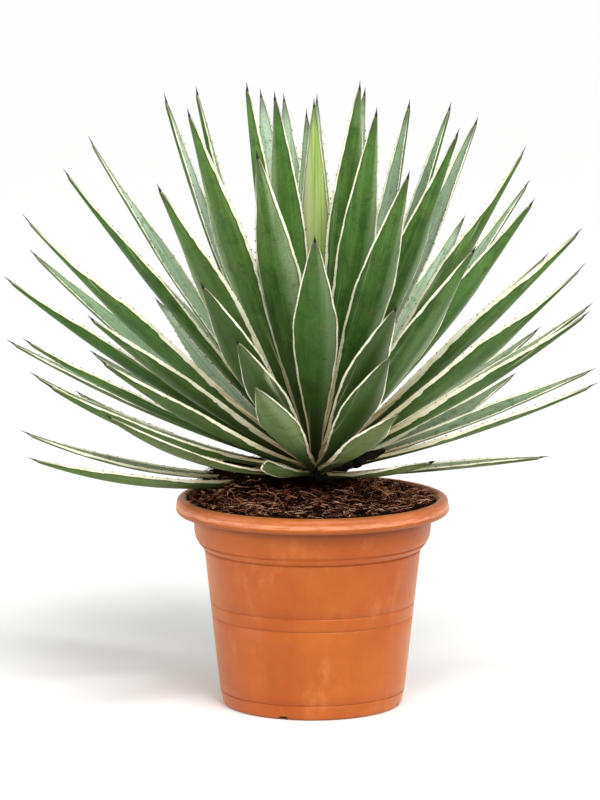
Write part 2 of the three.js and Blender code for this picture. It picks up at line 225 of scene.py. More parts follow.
class Finish:
    """A material under construction: one principled shader, fed by noise and by the marks that
    a mesh carries. The methods from mark to lay add a few nodes and return an output, and relief
    and colour lead one to the shader."""

    def __init__(self, name, roughness, specular=0.5):
        self.material = bpy.data.materials.new(name)
        self.material.use_nodes = True
        self.tree = self.material.node_tree
        self.shader = self.tree.nodes["Principled BSDF"]
        self.shader.inputs["Roughness"].default_value = roughness
        self.shader.inputs["Specular IOR Level"].default_value = specular

    def node(self, kind, **settings):
        made = self.tree.nodes.new(kind)
        for key, value in settings.items():
            setattr(made, key, value)
        return made

    def feed(self, socket, value):
        """Links an output to a socket, or sets the socket to a number or colour."""
        if isinstance(value, bpy.types.NodeSocket):
            self.tree.links.new(value, socket)
        elif isinstance(value, tuple) and len(value) == 3 and socket.type == "RGBA":
            socket.default_value = (*value, 1)
        else:
            socket.default_value = value

    def mark(self, name):
        """The number that each vertex carries under this name."""
        return self.node("ShaderNodeAttribute", attribute_name=name).outputs["Fac"]

    def place(self):
        """The place of each point, in metres."""
        return self.node("ShaderNodeTexCoord").outputs["Object"]

    def height(self):
        """The height above the floor of each point, in metres."""
        split = self.node("ShaderNodeSeparateXYZ")
        self.feed(split.inputs[0], self.place())
        return split.outputs["Z"]

    def maths(self, operation, a, b=0.0, c=0.0):
        """One sum, product or other operation on numbers or outputs."""
        made = self.node("ShaderNodeMath", operation=operation)
        for socket, value in zip(made.inputs, (a, b, c)):
            self.feed(socket, value)
        return made.outputs[0]

    def times(self, a, b):
        return self.maths("MULTIPLY", a, b)

    def point(self, x, y, z):
        made = self.node("ShaderNodeCombineXYZ")
        for socket, value in zip(made.inputs, (x, y, z)):
            self.feed(socket, value)
        return made.outputs[0]

    def stretch(self, vector, scale):
        """The vector with each of its parts scaled, to draw a pattern out along an axis."""
        made = self.node("ShaderNodeMapping")
        self.feed(made.inputs["Vector"], vector)
        made.inputs["Scale"].default_value = scale
        return made.outputs[0]

    def noise(self, vector, scale, detail=3.0, rough=0.55):
        made = self.node("ShaderNodeTexNoise")
        self.feed(made.inputs["Vector"], vector)
        made.inputs["Scale"].default_value = scale
        made.inputs["Detail"].default_value = detail
        made.inputs["Roughness"].default_value = rough
        return made.outputs["Fac"]

    def ramp(self, value, low, high, to_low=0.0, to_high=1.0):
        """value mapped smoothly from low..high to to_low..to_high, and held outside."""
        made = self.node("ShaderNodeMapRange", interpolation_type="SMOOTHSTEP")
        for socket, number in zip(made.inputs, (value, low, high, to_low, to_high)):
            self.feed(socket, number)
        return made.outputs[0]

    def blend(self, share, first, second):
        """A colour between the first, at share 0, and the second, at share 1."""
        made = self.node("ShaderNodeMix", data_type="RGBA")
        factor, colour_a, colour_b = (made.inputs[place] for place in (0, 6, 7))
        self.feed(factor, share)
        self.feed(colour_a, first)
        self.feed(colour_b, second)
        return made.outputs[2]

    def lay(self, base, *layers):
        """Colours laid over a base colour in turn. Each layer is (share, colour)."""
        for share, colour in layers:
            base = self.blend(share, base, colour)
        return base

    def relief(self, height, depth, strength):
        """Bumps of that depth in metres, at that share of their strength."""
        made = self.node("ShaderNodeBump")
        made.inputs["Distance"].default_value = depth
        made.inputs["Strength"].default_value = strength
        self.feed(made.inputs["Height"], height)
        self.tree.links.new(made.outputs[0], self.shader.inputs["Normal"])

    def colour(self, value):
        self.feed(self.shader.inputs["Base Color"], value)


deep_clay, warm_clay = (0.352, 0.070, 0.006), (0.412, 0.095, 0.010)
bleached_clay, stained_clay = (0.540, 0.175, 0.052), (0.290, 0.060, 0.009)
dusty_clay, scuffed_and_highlit_clay = (0.640, 0.250, 0.100), (0.760, 0.320, 0.180)
shaded_clay = (0.060, 0.011, 0.001)
scuff_highlight_low, scuff_highlight_high = (0.2182, 0.2196), (0.2222, 0.2242)       # heights where the rim's scuffs and its painted highlight fade

terracotta = Finish("terracotta_plastic", roughness=0.36, specular=0.27)
terracotta.shader.inputs["Sheen Weight"].default_value = 0.40
terracotta.shader.inputs["Sheen Roughness"].default_value = 0.35
terracotta.shader.inputs["Sheen Tint"].default_value = (1.0, 0.50, 0.20, 1)
where = terracotta.place()
cloud = terracotta.noise(where, 9, 4, 0.6)
patch = terracotta.noise(terracotta.stretch(where, (1, 1, 0.55)), 34, 5, 0.65)
speck = terracotta.noise(where, 420, 2)
scuff = terracotta.noise(terracotta.stretch(where, (1, 1, 9)), 46, 4, 0.6)
# A band round the lower lip, fainter above it, painted paler: partly scuffs, partly a painted highlight
# along the lip.
lip_highlight_band = terracotta.times(terracotta.ramp(terracotta.height(), *scuff_highlight_low),
                          terracotta.ramp(terracotta.height(), *scuff_highlight_high, 1, 0.25))
scuff_and_highlight = terracotta.times(lip_highlight_band, terracotta.ramp(scuff, 0.34, 0.62, 0.15, 0.65))
terracotta.colour(terracotta.lay(
    deep_clay,
    (terracotta.ramp(cloud, 0.34, 0.68), warm_clay),
    (terracotta.ramp(patch, 0.52, 0.74, 0, 0.46), bleached_clay),
    (terracotta.ramp(patch, 0.30, 0.44, 0.35, 0), stained_clay),
    (terracotta.ramp(speck, 0.66, 0.78, 0, 0.16), dusty_clay),
    (scuff_and_highlight, scuffed_and_highlit_clay),
    (terracotta.times(terracotta.mark("dark"), 0.72), shaded_clay)))
terracotta.feed(terracotta.shader.inputs["Roughness"], terracotta.ramp(patch, 0.3, 0.7, 0.30, 0.44))
terracotta.relief(terracotta.maths("ADD", patch, terracotta.times(speck, 0.35)), 0.0005, 0.5)
pot.data.materials.append(terracotta.material)
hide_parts("pot")
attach(pot, "root")

# ---- Soil --------------------------------------------------------------------------------
# Dark, crumbly coir that fills the pot from its floor. It is pressed in by hand, domed above the
# rim, heaped up in two places on the left and a little sunken at the back on the right.
soil_high, soil_low = 0.243, 0.2284      # in the middle and at the rim
soil_edge = 0.1377                       # radius of the bed where it meets the pot's lip
lip_slope = 0.81                         # how far the lip draws in for its depth
soil_dip, dip_bearing = 0.0034, math.radians(128)        # lower towards the right at the back
dip_reach = 2.0                          # radians to either side of that bearing
rosette_x = 0.004                        # the plant stands a little right of the pot's axis
mound_height, mound_radius = 0.006, 0.040
heaps = [(-0.089, 0.026, 0.052, 0.038, 0.027),           # x, y, length, breadth, height
         (-0.050, -0.014, 0.046, 0.030, 0.015)]
heap_foot = soil_high + 0.003            # what lies higher than this is on a heap
longest_wave, finest_wave, wave_count = 0.060, 0.0032, 34
crumb_swell, crumb_ridge = 0.0034, 0.0020
soil_draw = np.random.default_rng(11)


def waves(x, y, draw):
    """A sum of sine waves in random directions, each finer and lower than the one before it,
    scaled so that it stays within about -1..1."""
    total = np.zeros_like(x)
    for k in range(wave_count):
        length = longest_wave * (finest_wave / longest_wave) ** (k / (wave_count - 1))
        turn, shift = draw.uniform(0, 2 * math.pi, 2)
        total += (length / longest_wave) ** 0.55 * np.sin(
            (x * math.cos(turn) + y * math.sin(turn)) * 2 * math.pi / length + shift)
    return total / wave_count ** 0.5


def soil_rim(bearing):
    """Radius and height of the bed's edge at that bearing. The edge dips by the third power of
    the cosine round one bearing, and draws in with the slope of the pot's lip."""
    dip = soil_dip * np.clip(np.cos((bearing - dip_bearing) * 0.75), 0, 1) ** 3
    dip = dip * (np.abs((bearing - dip_bearing + math.pi) % (2 * math.pi) - math.pi) < dip_reach)
    return soil_edge - lip_slope * dip, soil_low - dip


def soil_height(x, y):
    """A dome that falls as the 1.9th power of the radius to the rim, with a low mound round the
    stem and two heaps on the left, all bell curves."""
    edge_radius, edge_height = soil_rim(np.arctan2(x, -y) % (2 * math.pi))
    share = np.clip(np.hypot(x, y) / edge_radius, 0, 1)
    mound = mound_height * np.exp(-(np.hypot(x - rosette_x, y) / mound_radius) ** 4)
    heaped = sum(tall * np.exp(-np.hypot((x - heap_x) / long, (y - heap_y) / broad) ** 3)
                 for heap_x, heap_y, long, broad, tall in heaps)
    return soil_high - (soil_high - edge_height) * share ** 1.9 + mound + heaped * (1 - share ** 8)


soil_rings, soil_sides = 100, 320
rim_step_in, rim_step_down = 0.0002, 0.0007              # keeps the sides below the top's edge
# The bed's underside and sides, just clear of the inside of the pot.
soil_outline = [(0, 0.0053), (0.089, 0.0053), (0.0935, 0.011), (0.1133, 0.167), (0.1258, 0.190),
                (0.1262, 0.2118), (0.1295, 0.2180), (0.1366, 0.2265)]
lower_radius, lower_height, lower_angle = turned_surface(soil_outline, soil_sides, rows_between=1)
edge_radius, edge_height = soil_rim(lower_angle[:1])
lower_radius = np.minimum(lower_radius, edge_radius - rim_step_in)
lower_height = np.minimum(lower_height, edge_height - rim_step_down)
top_radius = edge_radius * np.linspace(1, 0, soil_rings)[:, None]
top_angle = np.broadcast_to(lower_angle[:1], top_radius.shape)
top_x, top_y = top_radius * np.sin(top_angle), -top_radius * np.cos(top_angle)
crumbs = waves(top_x, top_y, soil_draw)
calm = np.clip(7 * (1 - top_radius / soil_edge), 0.30, 1)        # the crumbs are lower at the rim
top_height = soil_height(top_x, top_y) + (crumb_swell * crumbs + crumb_ridge * np.abs(crumbs)) * calm
lower_x, lower_y = lower_radius * np.sin(lower_angle), -lower_radius * np.cos(lower_angle)
points = np.concatenate([
    np.stack([lower_x, lower_y, lower_height], -1),
    np.stack([top_x, top_y, top_height], -1),
]).reshape(-1, 3)
soil = grid_mesh("soil_bed", points, turned_faces(len(soil_outline) + soil_rings, soil_sides).tolist())
weld(soil)

wet_husk, dry_husk, red_shred = (0.0020, 0.0008, 0.0005), (0.014, 0.0048, 0.0024), (0.062, 0.022, 0.011)
coir = Finish("coir", roughness=0.95, specular=0.06)
where = coir.place()
clod = coir.noise(where, 90, 5, 0.7)
shred = coir.noise(coir.stretch(where, (1, 0.25, 1)), 500, 3, 0.6)
coir.colour(coir.lay(
    wet_husk,
    (coir.ramp(clod, 0.35, 0.7), dry_husk),
    (coir.ramp(shred, 0.55, 0.72, 0, 0.5), red_shred)))
coir.relief(coir.maths("ADD", clod, shred), 0.002, 0.9)
soil.data.materials.append(coir.material)
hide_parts("soil")
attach(soil, "root")

# ---- Coir threads ------------------------------------------------------------------------
# Torn husk fibres, brown to straw-coloured, that cover the bed. Most lie flat in it, some stand up
# out of it, and a few hang over the rim.
thread_steps = 6                         # places along a thread, with three corners at each
thread_points = 3 * thread_steps
heading_wobble, climb_wobble = 0.12, 0.10                # radians, at each place
ridge = np.array([0, 0, 1.3])            # the third corner stands over the other two
end_girth = 0.08                         # share of a thread's thickness, squared, left at its ends
thread_lift = 0.0020                     # how far above the bed's waves a thread begins
coarse_count, coarse_length, coarse_widths = 6200, 0.0105, (0.0003, 0.0009)
fine_count, fine_length, fine_widths = 5750, 0.0100, (0.00025, 0.0006)
loose_count = 420


def strands(start, heading, rise, length, width, curl, draw, first=0, droop=0.9):
    """Three-sided bent threads, all at once. Each runs from start along its heading, climbs by
    rise, bends down again by droop, turns by curl over its length, and thins towards both ends.
    Returns points, and faces that count from the vertex number first."""
    count, steps = len(start), thread_steps
    along = np.linspace(0, 1, steps)
    turn = (heading[:, None] + curl[:, None] * (along - 0.5) * 2
            + draw.normal(0, heading_wobble, (count, steps)))
    step = length[:, None] / (steps - 1)
    climb = rise[:, None] * (1 - droop * along) + draw.normal(0, climb_wobble, (count, steps))
    dx = step * np.cos(turn) * np.cos(climb)
    dy = step * np.sin(turn) * np.cos(climb)
    dz = step * np.sin(climb)
    middle = np.stack([np.cumsum(d, 1) - d[:, :1] for d in (dx, dy, dz)], -1) + start[:, None, :]
    thick = width[:, None] / 2 * np.sqrt(np.clip(1 + end_girth - (2 * along - 1) ** 2, 0, 1))
    side = np.stack([-np.sin(turn), np.cos(turn), 0 * turn], -1)
    corners = [
        middle + side * thick[..., None], middle - side * thick[..., None],
        middle + ridge * thick[..., None],
    ]
    points = np.stack(corners, 2).reshape(-1, 3)
    thread, k, c = np.meshgrid(np.arange(count), np.arange(steps - 1), np.arange(3), indexing="ij")
    a = first + (thread * steps + k) * 3 + c
    b = first + (thread * steps + k) * 3 + (c + 1) % 3
    faces = np.stack([a, b, b + 3, a + 3], -1).reshape(-1, 4).tolist()
    foot = first + (np.arange(count) * steps * 3)[:, None]
    faces += (foot + [2, 1, 0]).tolist() + (foot + (steps - 1) * 3 + [0, 1, 2]).tolist()
    return points, faces


def scattered_threads(count, mean_length, widths, draw):
    """Threads strewn evenly over the bed, each with its own heading and rise. Those that point
    at the pot's wall are shorter, and those at the back and on the heaps lie flatter. Returns
    points, faces and the x and y of their feet."""
    bearing = draw.uniform(0, 2 * math.pi, count)
    reach = soil_rim(bearing)[0] * np.sqrt(draw.uniform(0.02, 0.99, count))
    at_back = np.clip(0.4 - np.cos(bearing), 0, 1)
    reach = reach * (1 - 0.07 * at_back)
    x, y = reach * np.sin(bearing), -reach * np.cos(bearing)
    heading = draw.uniform(0, 2 * math.pi, count)
    towards_wall = (x * np.cos(heading) + y * np.sin(heading)) / soil_edge
    evenness, shortest = 3.2, 0.003      # the gamma draw's shape, and what is added to each length
    length = draw.gamma(evenness, mean_length / evenness, count)
    length = length * np.where(towards_wall > 0.6, 0.4, 1) + shortest
    rise = (draw.normal(0.42, 0.42, count) - 0.25 * towards_wall) * (1 - 0.5 * (reach / soil_edge) ** 6)
    rise = rise * (1 - 0.9 * at_back) * np.where(soil_height(x, y) > heap_foot, 0.3, 1)
    start = np.stack([x, y, soil_height(x, y) + thread_lift], -1)
    points, faces = strands(start, heading, rise, length, draw.uniform(*widths, count),
                            draw.normal(0, 0.6, count), draw)
    return points, faces, x, y


def thread_shades(x, y, draw):
    """A number from 0, dark, to 1, pale, for each thread: a high power of an even draw, so that
    most are dark. Close to the stem they are darker still, as painted shade under the leaves, and
    they are darkest on the heaps."""
    painted_shade_near_stem = np.clip((np.hypot(x, y) - 0.030) / 0.055, 0.12, 1)
    on_heap = np.where(soil_height(x, y) > heap_foot, 0.2, 1)
    return draw.uniform(0, 1, len(x)) ** 5.6 * painted_shade_near_stem * on_heap


points, faces, thread_x, thread_y = scattered_threads(
    coarse_count, coarse_length, coarse_widths, soil_draw)
coarse_shade = thread_shades(thread_x, thread_y, soil_draw)
threads = grid_mesh("coir_threads", points, faces, marks={"pick": np.repeat(coarse_shade, thread_points)})

black_husk, red_husk, straw = (0.0036, 0.0011, 0.0006), (0.440, 0.140, 0.062), (0.88, 0.52, 0.32)
husk = Finish("coir_thread", roughness=0.85, specular=0.06)
shade = husk.mark("pick")
husk.colour(husk.lay(
    black_husk,
    (husk.ramp(shade, 0.10, 0.60), red_husk),
    (husk.ramp(shade, 0.64, 0.86), straw)))
threads.data.materials.append(husk.material)
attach(threads, "root")

# A finer layer lies among them. In it are pale fibres: some hang over the rim, some stand upright,
# most lie loose, and the last one is a thicker, dried root that lies on top.
points, faces, thread_x, thread_y = scattered_threads(fine_count, fine_length, fine_widths, soil_draw)
fine_shade = thread_shades(thread_x, thread_y, soil_draw) ** 0.5
over_rim = np.array([(-0.121, -0.055), (-0.117, -0.062), (-0.114, -0.068), (-0.110, -0.074),
                     (-0.106, -0.080), (-0.100, -0.087), (0.040, -0.127), (-0.020, -0.132)])
rim_top = 0.2312                         # height at which the fibres over the rim begin
standing = np.array([(0.086, -0.052), (0.078, -0.060), (-0.092, -0.050), (0.020, -0.100)])
standing_lengths = [0.027, 0.016, 0.018, 0.014]
root_foot, root_heading, root_rise = (-0.002, -0.044), -1.15, 0.02
root_length, root_width, root_shade = 0.030, 0.0018, 0.35
bearing = soil_draw.uniform(0, 2 * math.pi, loose_count)
reach = soil_edge * np.sqrt(soil_draw.uniform(0.16, 0.88, loose_count))
reach = reach * (1 - 0.35 * np.clip(-np.cos(bearing), 0, 1))
loose = np.column_stack([reach * np.sin(bearing), -reach * np.cos(bearing)])
loose_rise = soil_draw.uniform(0.1, 1.2, loose_count) * (1 - 0.6 * (reach / soil_edge) ** 6)
feet = np.concatenate([over_rim, standing, loose, [root_foot]])
foot_start = np.column_stack([feet, soil_height(feet[:, 0], feet[:, 1]) + thread_lift])
foot_start[:len(over_rim), 2] = rim_top
foot_rise = np.concatenate([np.full(len(over_rim), 0.25), np.full(len(standing), 1.35),
                            loose_rise, [root_rise]])
foot_length = np.concatenate([soil_draw.uniform(0.010, 0.020, len(over_rim)), standing_lengths,
                              soil_draw.uniform(0.007, 0.018, loose_count), [root_length]])
foot_heading = np.concatenate([soil_draw.uniform(-3.0, -0.6, len(over_rim)),
                               soil_draw.uniform(0, 2 * math.pi, len(standing) + loose_count),
                               [root_heading]])
foot_width = np.concatenate([np.full(len(over_rim) + len(standing), 0.0012),
                             soil_draw.uniform(0.0005, 0.0010, loose_count), [root_width]])
foot_curl = soil_draw.normal(0, 0.9, len(feet))
foot_points, foot_faces = strands(foot_start, foot_heading, foot_rise, foot_length, foot_width,
                                  foot_curl, soil_draw, first=len(points), droop=1.4)
foot_shade = soil_draw.uniform(0.62, 1.0, len(feet))
foot_shade[-1] = root_shade
shades = np.repeat(np.concatenate([fine_shade, foot_shade]), thread_points)
fine_threads = grid_mesh("fine_coir_threads", np.concatenate([points, foot_points]),
                         faces + foot_faces, marks={"pick": shades})
fine_threads.data.materials.append(husk.material)
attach(fine_threads, "root")

# ---- Leaves ------------------------------------------------------------------------------
# Stiff fleshy blades, channelled above and rounded below, green with cream margins, small brown
# teeth and a dark spine. They leave a short stem in turn, the youngest nearly upright.

# One row a leaf: azimuth and rise in degrees, length, width, hang as a share of its length, and
# twist in degrees. Azimuth 0 points at the camera and +90 along +X.
heart_leaves = [
    (-2, 79.5, 0.375, 0.034, 0, 0), (26, 77, 0.400, 0.044, 0.02, 0), (-25, 76.5, 0.390, 0.042, 0.02, 0),
    (-62.5, 79.5, 0.389, 0.044, 0.02, 0), (179.5, 72, 0.380, 0.036, 0, 0),
    (157, 71.5, 0.390, 0.042, 0.02, 0), (-175.5, 71, 0.365, 0.036, 0, 0),
    (22.5, 68.5, 0.400, 0.044, 0.03, 0), (-167, 68.5, 0.390, 0.040, 0.02, 0),
    (-159, 67, 0.400, 0.042, 0.02, 0), (-161.5, 65.5, 0.385, 0.042, 0.02, 0),
    (117.5, 74.5, 0.374, 0.042, 0.03, 0), (-112.5, 71.5, 0.397, 0.038, 0.03, 16),
    (108.5, 69, 0.387, 0.038, 0.02, 0), (-104.5, 67.5, 0.402, 0.038, 0.03, 0),
    (-70, 85, 0.290, 0.030, 0, 0), (120, 84, 0.300, 0.030, 0, 0),
]
upper_leaves = [
    (111.5, 63.5, 0.388, 0.046, 0.02, 8), (-37, 61.5, 0.430, 0.048, 0.025, 0),
    (37, 58, 0.425, 0.046, 0.015, 0), (64, 56, 0.405, 0.046, 0.02, -12),
    (-13.5, 54.5, 0.425, 0.048, 0.02, 0), (-108.5, 53.5, 0.412, 0.042, 0.022, 0),
    (20, 52, 0.415, 0.046, 0.02, 0), (-82, 50.5, 0.400, 0.044, 0.018, 15),
    (118, 48.5, 0.377, 0.042, 0.02, 0), (-32.5, 48, 0.425, 0.048, 0.02, 0),
    (-168, 50, 0.410, 0.046, 0.02, 0), (168, 46, 0.415, 0.046, 0.02, 0),
]
middle_leaves = [
    (43, 44.5, 0.430, 0.048, 0.02, 0), (-0.5, 43, 0.400, 0.048, 0.02, 0),
    (68, 42.5, 0.382, 0.046, 0.02, -15), (-124, 42.5, 0.334, 0.042, 0.03, 0),
    (-62, 40.5, 0.430, 0.046, 0.03, 12), (112, 39, 0.332, 0.036, 0.02, 0),
    (27.5, 39, 0.420, 0.046, 0.03, 0), (-21, 36.5, 0.385, 0.046, 0.03, 0),
    (150, 35.5, 0.400, 0.044, 0.03, 0), (49, 35, 0.420, 0.038, 0.03, -18),
    (14.5, 34.5, 0.365, 0.044, 0.02, 0), (-110, 34, 0.383, 0.046, 0.035, 0),
    (-78, 33, 0.382, 0.037, 0.03, 20), (-16, 31.5, 0.330, 0.044, 0.03, 0),
    (62, 31, 0.354, 0.035, 0.03, -14), (104, 29, 0.336, 0.036, 0.03, 0),
    (14, 29, 0.325, 0.042, 0.03, 0), (-36.5, 28.5, 0.420, 0.042, 0.02, 0),
    (-72, 26, 0.342, 0.038, 0.035, 10), (-13, 25.5, 0.290, 0.044, 0.03, 0),
    (124, 24, 0.312, 0.042, 0.04, 0), (-34.5, 23.5, 0.400, 0.040, 0.03, 0),
    (-95.5, 22.5, 0.346, 0.036, 0.03, 0), (-178, 33, 0.405, 0.046, 0.03, 0),
    (165, 25, 0.390, 0.044, 0.03, 0), (-150, 22, 0.380, 0.042, 0.03, 0),
]
lower_leaves = [
    (16.5, 20.5, 0.290, 0.040, 0.03, 0), (-66, 20.5, 0.314, 0.036, 0.06, 10),
    (76, 19.5, 0.306, 0.031, 0.03, -8), (97, 19.5, 0.305, 0.032, 0.02, 10),
    (-126, 19, 0.312, 0.040, 0.04, 0), (-37.5, 17, 0.350, 0.033, 0.06, 0),
    (-104, 17, 0.319, 0.033, 0.06, 0), (-157, 14, 0.380, 0.042, 0.03, 0),
    (-24, 12.8, 0.122, 0.0150, 0.04, 62), (40, 11.5, 0.178, 0.034, 0.04, 0),
    (140.5, 11, 0.350, 0.042, 0.05, 0), (-94, 8, 0.306, 0.032, 0.07, 0),
    (-135, 7.5, 0.375, 0.040, 0.06, 0), (-82, 5, 0.295, 0.036, 0.07, 20),
    (92, 4.5, 0.234, 0.032, 0.01, 0), (-178, 12, 0.360, 0.042, 0.05, 0),
    (160, 6, 0.340, 0.042, 0.05, 0), (-165, 2, 0.330, 0.040, 0.05, 0),
]
lowest_root, highest_root = 0.246, 0.312
stem_radius, stem_tip_radius = 0.023, 0.003
stations, ring_points = 76, 30
tip_stations = 22                        # of the stations, those on the last tenth of the leaf
spine_width, spine_length = 0.0019, 0.0112
tooth_spacing = 0.0145
first_tooth, toothed_share = 0.16, 0.74  # where the teeth begin, and the share that bears them
edge_round = 0.00035                     # radius of the rounded margin
widest_at = 0.6                          # share of the length at which a blade is widest
tip_from, tip_span = 0.56, 0.40          # where the turn of the tip begins, and over how much of it
channel_depth, channel_gain = 0.24, 0.30                 # share of the half width, and more at the tip
blade_thick, blade_thinning = 0.0044, 0.0024             # at the foot, and how much less at the tip
heel_thick, heel_share = 0.004, 0.16     # what the foot is thicker by, and over how much of the length
tooth_heights, tooth_sink = (0.0011, 0.0022), 0.0006
# How far the tips are rolled shut, as a share, where it isn't worked out from the leaf's place.
rolled_tips = {
    "middle_leaf_05": 0.78, "middle_leaf_10": 0.84, "upper_leaf_04": 0.64, "upper_leaf_06": 0.62,
    "lower_leaf_09": 0.0, "lower_leaf_12": 0.45,
}
blunt_leaf = "lower_leaf_09"             # a small leaf that has lost its tip
spined_tip, blunt_tip = (spine_length, 1.3), (0.0015, 7.0)       # length, and power of the taper
# Leaves whose cream margins are drawn to a width of their own: 1 is the common width.
banded_leaves = {
    "middle_leaf_03": 1.9, "middle_leaf_10": 1.4, "middle_leaf_15": 1.6, "middle_leaf_18": 1.5,
    "lower_leaf_03": 1.6, "lower_leaf_10": 1.5, "lower_leaf_12": 1.8, "upper_leaf_01": 1.8,
    "upper_leaf_02": 1.4, "upper_leaf_10": 1.6, "middle_leaf_05": 1.5, "lower_leaf_06": 0.9,
}
# Leaves of a darker green, and how far they go towards it: 1 is a little over half of the way.
dusky_leaves = {
    "middle_leaf_13": 0.8, "middle_leaf_18": 0.7, "middle_leaf_22": 1.0, "middle_leaf_05": 0.4,
    "lower_leaf_02": 0.5, "lower_leaf_06": 0.5, "middle_leaf_10": 0.8, "middle_leaf_15": 0.7,
    "middle_leaf_07": 0.4, "middle_leaf_08": 1.4, "middle_leaf_14": 1.4, "middle_leaf_02": 0.6,
    "middle_leaf_17": 1.4, "middle_leaf_11": 1.4, "upper_leaf_07": 0.2, "upper_leaf_10": 0.4,
}
# Small leaves with a short spine, and the length of spine, in metres, that is green instead.
short_spines = {"middle_leaf_20": 0.0085, "lower_leaf_01": 0.0085, "middle_leaf_17": 0.005}


def rib_frame(row, s):
    """Where a leaf's midrib is at each s from foot to tip, and the directions along it, across
    it and out of its upper face. The rib is a parabola: the straight line from foot to tip,
    less four s (1 - s) times the hang, and it starts higher on the stem the more it rises."""
    azimuth, rise, length, _, hang, twist = row
    a, e, roll = math.radians(azimuth), math.radians(rise), math.radians(twist)
    share = min(1, max(0, (rise + 8) / 98))
    outward = np.array([math.sin(a), -math.cos(a), 0])
    chord = outward * math.cos(e) + np.array([0, 0, math.sin(e)])
    upward = -outward * math.sin(e) + np.array([0, 0, math.cos(e)])
    root = outward * ((stem_radius - stem_tip_radius) * math.sqrt(1 - share ** 3) + stem_tip_radius)
    root = root + np.array([rosette_x, 0, lowest_root + (highest_root - lowest_root) * share])
    s = s[:, None]
    point = root + chord * s * length - upward * 4 * s * (1 - s) * hang * length
    along = chord - upward * 4 * (1 - 2 * s) * hang
    along = along / np.linalg.norm(along, axis=1, keepdims=True)
    level = np.broadcast_to(np.array([math.cos(a), math.sin(a), 0]), along.shape)
    upright = np.cross(along, level)
    across = level * math.cos(roll) + upright * math.sin(roll)
    return point, along, across, np.cross(along, across)


def blade_width(s, width, spine_share, taper):
    """Width at s: a sine-squared swell up to the widest place, a power curve in to the foot of
    the spine, and the spine's own width, joined by a cubic mean so that one runs into the other.
    A higher power of taper keeps the blade wide for longer and ends it bluntly."""
    swell = 0.28 + 0.72 * np.sin(math.pi / 2 * np.clip(s / widest_at, 0, 1) ** 0.9) ** 2
    inward = np.clip((s - widest_at) / ((1 - widest_at) * (1 - spine_share)), 0, 1)
    blade = width * np.where(s < widest_at, swell, (1 - inward ** taper) ** 0.85)
    spine = spine_width * np.clip((1 - s) / spine_share, 0, 1) ** 0.6
    return np.cbrt(blade ** 3 + spine ** 3)


def blade_frame(row, s, tip):
    """The rib's frame with the tip's own turn added over the last two fifths, by a smooth step.
    tip is that turn, the share by which the tip is rolled shut, the spine's length and the power
    of the taper. Also gives half the width, which the roll narrows, and the channel's depth,
    which is about twice as much for its width at the tip."""
    tip_turn, tip_roll, tip_length, taper = tip
    point, along, across, up = rib_frame(row, s)
    late = np.clip((s - tip_from) / tip_span, 0, 1)
    late = late * late * (3 - 2 * late)
    turn = (tip_turn * late)[:, None]
    half = blade_width(s, row[3], tip_length / row[2], taper) / 2
    half = half * (1 - tip_roll * late * np.clip((1 - s) * row[2] / tip_length, 0, 1))
    depth = half * (channel_depth + channel_gain * late)
    return (point, along, across * np.cos(turn) + up * np.sin(turn),
            up * np.cos(turn) - across * np.sin(turn), half, depth)


def leaf_skin(row, tip, draw):
    """A closed skin round the midrib. Each section goes round by an angle whose cosine is the
    place across: the upper side rises to the margins as the 1.5th power of the distance from
    the middle, the lower side is a deeper power curve below it, and the edge is rounded. Its
    marks are lengths in metres (run along the leaf, over it from the midrib, in from its edge,
    to its tip) and shares (of its length, of its paler flank, and 1 on the under side)."""
    azimuth, _, length, *_ = row
    tip_length = tip[2]
    s = np.concatenate([np.linspace(-0.025, 0.90, stations - tip_stations),
                        np.linspace(0.91, 0.999, tip_stations)])
    point, along, across, up, half, depth = blade_frame(row, s, tip)
    half = half * (1 + 0.012 * np.sin(s * 46 + draw.uniform(0, 6)) * (s < 0.93))
    to_tip = (1 - s) * length
    on_spine = np.clip((1.3 - to_tip / tip_length) / 0.5, 0, 1)[:, None]
    angle = np.arange(ring_points) / ring_points * 2 * math.pi
    x = np.cos(angle)[None, :]
    off = np.abs(x)
    channel = depth[:, None] * (1 - on_spine)
    heel = heel_thick * np.clip(1 - s / heel_share, 0, 1) ** 2
    thick = (blade_thick - blade_thinning * s + heel)[:, None]
    high = np.sin(angle)[None, :]
    upper = channel * off ** 1.5 + edge_round * high
    lower = -thick + (thick + channel) * off ** 2.2 + edge_round * high
    flat = np.where(high >= 0, upper, lower)
    round_spine = half[:, None] * high
    z = flat * (1 - on_spine) + round_spine * on_spine
    ring = point[:, None, :] + across[:, None, :] * (half[:, None] * x)[..., None]
    ring = ring + up[:, None, :] * z[..., None]
    over = half[:, None] * x
    to_edge = half[:, None] - np.abs(over)
    if tip_length < spine_length:        # it has lost its spine, so cream runs round its end
        to_edge = np.minimum(to_edge, to_tip[:, None])
        to_tip = to_tip + length
    # The half of each leaf that turns towards the lamps; the finish paints it paler, as painted light.
    pale_side = 1.15 if azimuth > 10 else 1 if azimuth > -20 else -1
    marks = {
        "run": np.broadcast_to(s[:, None] * length, over.shape),
        "over": over,
        "edge": to_edge,
        "share": np.broadcast_to(s[:, None], over.shape),
        "to_tip": np.broadcast_to(to_tip[:, None], over.shape),
        "flank": np.broadcast_to(x * pale_side, over.shape),
        "under": np.broadcast_to(high < 0, over.shape),
    }
    return ring.reshape(-1, 3), {key: np.asarray(value, float).ravel() for key, value in marks.items()}


